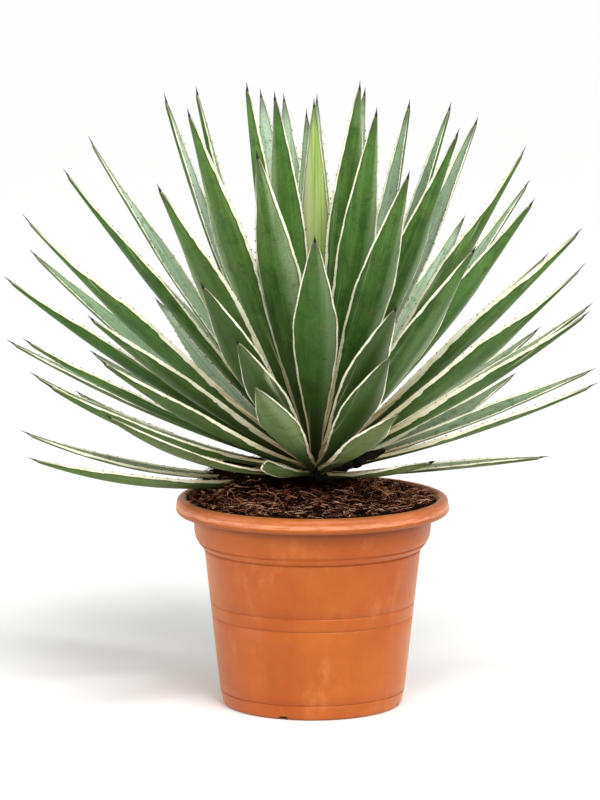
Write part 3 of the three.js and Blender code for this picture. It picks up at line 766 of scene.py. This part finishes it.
def leaf_teeth(row, tip, draw):
    """Small hooked thorns along both margins: five-sided cones, bent towards the leaf's tip,
    spaced a little unevenly. All of them are worked out at once."""
    count = int(row[2] * toothed_share / tooth_spacing)
    place = np.arange(2 * count) % count + draw.uniform(0.2, 0.8, 2 * count)
    s = first_tooth + place / count * toothed_share
    side = np.repeat([-1, 1], count)
    point, along, across, up, half, depth = blade_frame(row, s, tip)
    foot = point + across * (side * (half - tooth_sink))[:, None] + up * depth[:, None]
    tall = draw.uniform(*tooth_heights, len(s)) * np.where(s > 0.75, 0.7, 1)
    bend = draw.uniform(-0.25, 0.75, len(s))
    rise = np.array([0, 0.45, 0.8, 1.0])                 # share of the height, and the radius there
    girth = np.array([0.00095, 0.00050, 0.00026, 0.00002])
    rings, sides = len(rise), 5
    turn = np.arange(sides) / sides * 2 * math.pi
    centre = (foot[:, None, :] + across[:, None, :] * (side * tall)[:, None, None] * rise[None, :, None]
              + along[:, None, :] * (bend * tall)[:, None, None] * (rise ** 2)[None, :, None])
    ring = (centre[:, :, None, :]
            + along[:, None, None, :] * (girth[:, None] * np.cos(turn))[None, :, :, None] * 1.3
            + up[:, None, None, :] * (girth[:, None] * np.sin(turn))[None, :, :, None] * 0.7)
    points = ring.reshape(-1, 3)
    thorn, k, c = np.meshgrid(np.arange(len(s)), np.arange(rings - 1), np.arange(sides), indexing="ij")
    a = (thorn * rings + k) * sides + c
    b = (thorn * rings + k) * sides + (c + 1) % sides
    return points, np.stack([a, b, b + sides, a + sides], -1).reshape(-1, 4)


def leaf_piece(name, rows, seed):
    """One mesh object of one or more whole leaves with their teeth and their marks."""
    draw = np.random.default_rng(seed)
    points, faces, first = [], [], 0
    marks = collections.defaultdict(list)
    for index, row in enumerate(rows):
        azimuth, rise, length = row[:3]
        reaches_sideways = math.sin(math.radians(azimuth)) ** 2 * (rise < 62)
        roll = rolled_tips.get(name, 0.10 + 0.38 * reaches_sideways)
        tip_turn = math.radians(np.clip(draw.normal(0, 5), -10, 10))
        tip = (tip_turn, roll, *(blunt_tip if name == blunt_leaf else spined_tip))
        skin, skin_marks = leaf_skin(row, tip, draw)
        skin_marks["to_tip"] += short_spines.get(name, 0)
        quads = turned_faces(stations, ring_points, first)
        caps = [list(range(first + ring_points - 1, first - 1, -1)),
                list(range(first + (stations - 1) * ring_points, first + stations * ring_points))]
        thorns, thorn_faces = leaf_teeth(row, tip, draw)
        faces += quads.tolist() + caps + (thorn_faces + first + len(skin)).tolist()
        points += [skin, thorns]
        total = len(skin) + len(thorns)
        first += total
        pick = draw.uniform(0, 1)
        leaf_marks = {
            "pick": pick,                                # different on each leaf
            "lime": float(name == "heart" and index == 0),               # the youngest leaf
            "young": float(length < 0.39 and abs(azimuth) < 45 and rise < 60),
            "old": min(1, max(0, (30 - rise) / 18)),     # rises to 1 on the lowest leaves
            "band": banded_leaves.get(name, 0.80 + 0.5 * pick),
            "dusk": dusky_leaves.get(name, 0),
            "right": float(azimuth > 10),
        }
        for key, values in skin_marks.items():
            marks[key] += [values, np.zeros(len(thorns))]
        marks["thorn"] += [np.zeros(len(skin)), np.ones(len(thorns))]
        for key, value in leaf_marks.items():
            marks[key].append(np.full(total, value))
    marks = {key: np.concatenate(values) for key, values in marks.items()}
    piece_name = "heart_leaves" if name == "heart" else f"{name}_blade"
    return grid_mesh(piece_name, np.concatenate(points), faces, marks=marks)


# The leaf's finish, from colours that are laid over one another: the greens first, then the cream
# of the margins, and last the browns of the tip and teeth.
deep_green, leaf_green = (0.040, 0.102, 0.013), (0.090, 0.190, 0.028)
broad_light, broad_dark = (0.160, 0.290, 0.075), (0.016, 0.050, 0.006)
cloud_light, cloud_dark = (0.105, 0.245, 0.045), (0.020, 0.060, 0.008)
pale_half = (0.335, 0.440, 0.225)
inner_dark, inner_light, bloom_and_reflection = (0.265, 0.390, 0.235), (0.440, 0.565, 0.400), (0.620, 0.705, 0.600)
yellow_leaf, grass_leaf = (0.170, 0.235, 0.070), (0.060, 0.185, 0.022)
young_green, old_green, dusky_green = (0.130, 0.145, 0.060), (0.125, 0.150, 0.055), (0.026, 0.066, 0.005)
shaded_foot_green, margin_shadow = (0.024, 0.036, 0.008), (0.020, 0.042, 0.008)
rust_brown, mottle_green, pore_green = (0.180, 0.125, 0.040), (0.024, 0.058, 0.009), (0.014, 0.034, 0.005)
lime_dark, lime_light, lime_edge = (0.240, 0.380, 0.060), (0.520, 0.630, 0.230), (0.620, 0.670, 0.350)
old_cream, fresh_cream = (0.78, 0.76, 0.50), (0.93, 0.92, 0.73)
tan, straw_tan = (0.30, 0.20, 0.065), (0.80, 0.66, 0.35)
edge_brown, edge_buff = (0.10, 0.060, 0.028), (0.40, 0.32, 0.16)
tooth_dark, tooth_light = (0.045, 0.020, 0.011), (0.120, 0.055, 0.026)
tip_olive, spine_black = (0.060, 0.070, 0.026), (0.0040, 0.0022, 0.0016)

blade = Finish("agave_leaf", roughness=0.48, specular=0.22)
run, over, edge = blade.mark("run"), blade.mark("over"), blade.mark("edge")
share, to_tip, flank = blade.mark("share"), blade.mark("to_tip"), blade.mark("flank")
under, thorn = blade.mark("under"), blade.mark("thorn")
pick, lime, young = blade.mark("pick"), blade.mark("lime"), blade.mark("young")
old, band, dusk, right = (blade.mark(name) for name in ("old", "band", "dusk", "right"))


def lengthwise(across_scale, along_scale, shift):
    """Noise drawn out along the leaf, different on each leaf."""
    apart = blade.maths("MULTIPLY_ADD", pick, 40, shift)
    spot = blade.point(blade.times(over, across_scale), blade.times(run, along_scale), apart)
    return blade.noise(spot, 1, 3, 0.55)


streak = lengthwise(620, 9, 0)
broad = lengthwise(110, 7, 3.3)
stripe = lengthwise(330, 2.5, 7.1)
wander = lengthwise(60, 45, 12.4)
cloudy = lengthwise(75, 30, 5.2)
mottle = blade.noise(blade.place(), 75, 4, 0.65)
pores = blade.noise(blade.place(), 620, 3, 0.7)
rust = blade.noise(blade.place(), 48, 5, 0.7)

# The outer face, with one half painted paler where the light falls on it, and the inner face,
# pale partly from its waxy bloom and partly from a painted reflection of the pale surround.
pale_flank = blade.times(blade.ramp(flank, 0.14, 0.66, 0, 0.80), blade.ramp(broad, 0.25, 0.60, 0.45, 1))
outer_green = blade.lay(
    deep_green,
    (blade.ramp(streak, 0.28, 0.74), leaf_green),
    (blade.ramp(broad, 0.44, 0.72, 0, 0.50), broad_light),
    (blade.ramp(broad, 0.28, 0.42, 0.55, 0), broad_dark),
    (blade.ramp(cloudy, 0.50, 0.66, 0, 0.45), cloud_light),
    (blade.ramp(cloudy, 0.34, 0.48, 0.50, 0), cloud_dark),
    (pale_flank, pale_half))
inner_green = blade.lay(
    inner_dark,
    (blade.ramp(streak, 0.30, 0.72), inner_light),
    (blade.ramp(broad, 0.45, 0.72, 0, 0.6), bloom_and_reflection))
fresh_green = blade.lay(
    lime_dark,
    (blade.ramp(streak, 0.30, 0.70), lime_light),
    (blade.ramp(over, -0.006, -0.002, 1, 0), lime_edge))

# What differs from leaf to leaf, then painted shade darkening the foot where the leaves crowd
# round the stem, rusty patches, mottling and pores, and last the fresh green of the youngest leaf.
green = blade.lay(
    inner_green,
    (under, outer_green),
    (blade.ramp(pick, 0.60, 1.0, 0, 0.30), yellow_leaf),
    (blade.ramp(pick, 0.0, 0.35, 0.30, 0), grass_leaf),
    (blade.times(young, 0.42), young_green),
    (blade.times(old, 0.45), old_green),
    (blade.times(dusk, 0.55), dusky_green),
    (blade.ramp(share, 0.06, 0.46, 0.92, 0), shaded_foot_green),
    (blade.ramp(rust, 0.56, 0.72, 0, 0.36), rust_brown),
    (blade.ramp(mottle, 0.30, 0.46, 0.48, 0), mottle_green),
    (blade.ramp(pores, 0.35, 0.65, 0.30, 0), pore_green),
    (lime, fresh_green))

# The width of the cream margin, in metres: it wanders, is broader at the foot, on banded leaves
# and on the far side of the leaves at the right, and never takes more than its share of the leaf.
margin = blade.maths("MULTIPLY_ADD", wander, 0.0030, 0.0009)
margin = blade.maths("MULTIPLY_ADD", blade.maths("SUBTRACT", streak, 0.5), 0.0012, margin)
margin = blade.times(margin, blade.ramp(share, 0.10, 0.85, 1.40, 0.60))
margin = blade.times(margin, blade.ramp(to_tip, 0.015, 0.075, 0.20, 1))
margin = blade.times(margin, blade.times(band, blade.maths("MULTIPLY_ADD", young, -0.25, 1)))
far_side = blade.times(right, blade.ramp(flank, 0.50, 0.80))
margin = blade.times(margin, blade.maths("MULTIPLY_ADD", far_side, 0.9, 1))
half_width = blade.maths("ADD", blade.maths("ABSOLUTE", over), edge)
widest = blade.times(half_width, blade.maths("MULTIPLY_ADD", band, 0.14, 0.20))
widest = blade.times(widest, blade.ramp(to_tip, 0.010, 0.120, 0.45, 1))
widest = blade.times(widest, blade.ramp(share, 0.05, 0.40, 0.65, 1))
margin = blade.maths("MINIMUM", margin, widest)
inside = blade.maths("SUBTRACT", edge, margin)
in_margin = blade.ramp(inside, -0.00025, 0.00025, 1, 0)
beside_margin = blade.ramp(inside, 0.0002, 0.0018, 0.55, 0)

# Cream in the margins and in fine stripes beside them, turning tan towards the leaf's foot.
foot_tan = blade.blend(blade.ramp(streak, 0.35, 0.62), tan, straw_tan)
cream = blade.lay(
    old_cream,
    (blade.ramp(wander, 0.30, 0.70), fresh_cream),
    (blade.ramp(share, 0.05, 0.52, 0.95, 0), foot_tan))
in_stripe = blade.times(blade.ramp(stripe, 0.60, 0.66), blade.ramp(edge, 0.0030, 0.0095, 0.75, 0))
in_stripe = blade.times(in_stripe, blade.ramp(share, 0.65, 0.85, 1, 0))
in_stripe = blade.times(in_stripe, blade.ramp(band, 0.95, 1.4, 0.25, 1))

# All of it together, with the dry brown line on the very edge, the olive tip, the black spine,
# and the teeth.
blade.colour(blade.lay(
    green,
    (beside_margin, margin_shadow),
    (blade.maths("MAXIMUM", in_margin, in_stripe), cream),
    (blade.ramp(edge, 0.00005, 0.00032, 0.50, 0), blade.blend(wander, edge_brown, edge_buff)),
    (blade.ramp(to_tip, 0.012, 0.040, 0.65, 0), tip_olive),
    (blade.ramp(to_tip, 0.0096, 0.0116, 1, 0), spine_black),
    (thorn, blade.blend(mottle, tooth_dark, tooth_light))))
blade.feed(blade.shader.inputs["Roughness"], blade.ramp(streak, 0.3, 0.7, 0.42, 0.56))
blade.relief(streak, 0.0004, 0.30)

groups = {"upper": upper_leaves, "middle": middle_leaves, "lower": lower_leaves}
for group_index, (group, rows) in enumerate(groups.items()):
    for number, row in enumerate(rows, 1):
        node = f"{group}_leaf_{number:02d}"
        leaf = leaf_piece(node, [row], seed=100 * group_index + number)
        leaf.data.materials.append(blade.material)
        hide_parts(node)
        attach(leaf, "root")

# ---- Heart -------------------------------------------------------------------------------
# The upright young leaves in the middle, grown together at the foot round a rolled bud. They are
# made and coloured like the others, but they are one piece.
heart = leaf_piece("heart", heart_leaves, seed=77)
heart.data.materials.append(blade.material)
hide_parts("heart")
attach(heart, "root")

# ---- Stem --------------------------------------------------------------------------------
# The short stem that bears the leaves. Where it meets the soil it flares into a ring of old leaf
# bases, dried and torn, and near-black: their own dark brown with painted shade from the leaves
# over them. Above them it is green.
stem_outline = [
    (0, 0.190), (0.017, 0.190), (0.023, 0.202), (0.023, 0.236), (0.028, 0.243), (0.028, 0.247),
    (0.025, 0.255), (0.0228, 0.262), (0.0215, 0.278), (0.0184, 0.296), (0.012, 0.312),
    (0.004, 0.330), (0, 0.345),
]
stem_sides, stem_rows = 120, 6
base_count, base_swell, base_height, base_span = 10, 0.07, 0.247, 0.014      # the old leaf bases
torn_depth, torn_from = 0.05, 0.238
green_from, green_span = 0.268, 0.014
radius, height, angle = turned_surface(stem_outline, stem_sides, stem_rows)
lobes = base_swell * np.cos(base_count * angle)
lobes = lobes * np.clip(1 - np.abs(height - base_height) / base_span, 0, 1)
torn = torn_depth * np.sin(23 * angle + 400 * height) * np.sin(7 * angle - 260 * height)
radius = radius * (1 + lobes + torn * (height > torn_from))
stem_x, stem_y = radius * np.sin(angle) + rosette_x, -radius * np.cos(angle)
points = np.stack([stem_x, stem_y, height], -1).reshape(-1, 3)
living_part = np.clip((height - green_from) / green_span, 0, 1)
stem = grid_mesh("leaf_bases", points, turned_faces(*radius.shape).tolist(),
                 marks={"living": living_part.ravel()})
weld(stem)

# The dried colours are near-black: the bases' own dark brown with painted shade laid in.
dry_and_shade_dark, dry_and_shade_light = (0.0030, 0.0020, 0.0016), (0.022, 0.013, 0.008)
living_dark, living_light = (0.090, 0.130, 0.040), (0.260, 0.290, 0.140)
bark = Finish("dried_leaf_base_and_shade", roughness=0.85, specular=0.2)
grain = bark.noise(bark.stretch(bark.place(), (1, 1, 0.25)), 260, 4, 0.65)
dry = bark.blend(bark.ramp(grain, 0.40, 0.75), dry_and_shade_dark, dry_and_shade_light)
living = bark.blend(bark.ramp(grain, 0.35, 0.70), living_dark, living_light)
bark.colour(bark.blend(bark.mark("living"), dry, living))
bark.relief(grain, 0.0012, 0.8)
stem.data.materials.append(bark.material)
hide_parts("stem")
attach(stem, "root")

# ---- Old leaf stump ----------------------------------------------------------------------
# The dried foot of a leaf that was cut away: dark, shrunken, curled at its edges and ragged at
# the cut, still fixed to the stem on the right. It is near-black and reaches out under the leaves
# there, so it also stands in for the shade in the hollow beneath them.
stump_row = (74, 19, 0.053, 0.024, 0.02, 0)              # as a leaf's row
stump_steps, stump_round = 40, 36
stump_thick, stump_thinning = 0.0085, 0.0052             # at the stem, and how much less at the cut
s = np.linspace(-0.05, 1, stump_steps)
point, along, across, up = rib_frame(stump_row, s)
s = s[:, None]
to_cut = np.clip(s, 0, 1)
turn = np.arange(stump_round) / stump_round * 2 * math.pi
side, high = np.cos(turn)[None, :], np.sin(turn)[None, :]
half = stump_row[3] / 2 * (1 - 0.45 * to_cut ** 1.5) * (1 + 0.14 * np.sin(26 * s))
ragged = 0.0046 * np.sin(8 * side + 1.3) + 0.0022 * np.sin(17 * side + 5 * high)
curl = 0.30 * half * side ** 2
thick = stump_thick - stump_thinning * to_cut
skin = thick * high * (1 + 0.30 * np.sin(17 * s + 4 * side))
points = (point[:, None, :] + across[:, None, :] * (half * side)[..., None]
          + up[:, None, :] * (curl + skin)[..., None]
          + along[:, None, :] * (ragged * to_cut ** 3)[..., None])
faces = turned_faces(stump_steps, stump_round).tolist()
faces += [list(range(stump_round - 1, -1, -1)),
          list(range((stump_steps - 1) * stump_round, stump_steps * stump_round))]
stump = grid_mesh("old_leaf_stump", points.reshape(-1, 3), faces)
weld(stump)
stump.data.materials.append(bark.material)
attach(stump, "root")
